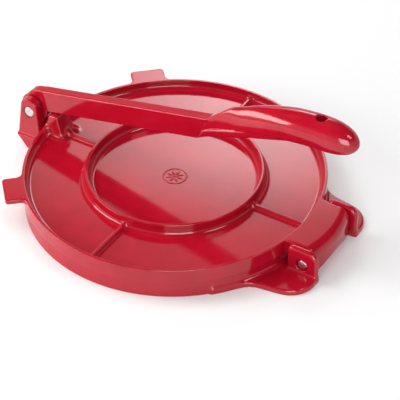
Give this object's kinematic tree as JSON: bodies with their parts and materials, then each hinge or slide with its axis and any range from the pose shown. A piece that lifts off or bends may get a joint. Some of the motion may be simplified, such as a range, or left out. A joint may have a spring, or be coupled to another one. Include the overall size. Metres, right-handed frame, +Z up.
{
  "type": "patty press",
  "caption": "Round cast hand press for patties or tortillas: hinged ribbed lid on a flat base, pressed shut by a long pivoted lever with an egg-shaped grip.",
  "frame": {"origin": "on the table, under the middle of the closed press's box", "axes": "+X from the lever's pivot to the lid's hinge and the grip, +Y across, +Z up"},
  "size_m": [0.3168, 0.25, 0.133],
  "materials": {
    "enamel": "glossy red enamel on cast metal",
    "steel": "plain cut steel pin"
  },
  "bodies": {
    "base": {"base_plate": "enamel", "hinge_pin": "steel", "lever_pin": "steel"},
    "lid": {"press_lid": "enamel"},
    "lever": {"press_lever": "enamel"}
  },
  "joints": [
    {"name": "lever_swing", "type": "hinge", "parent": "base", "child": "lever", "pos_m": [-0.14501, 0, 0.0385], "axis": [0, -1, 0], "range_deg": [0, 165]},
    {"name": "lid_hinge", "type": "hinge", "parent": "base", "child": "lid", "pos_m": [0.13199, 0, 0.0128], "axis": [0, 1, 0], "range_deg": [0, 100]}
  ],
  "couplings": [
    {"joint": "lid_hinge", "follows": "lever_swing", "ratio": 0.08}
  ]
}
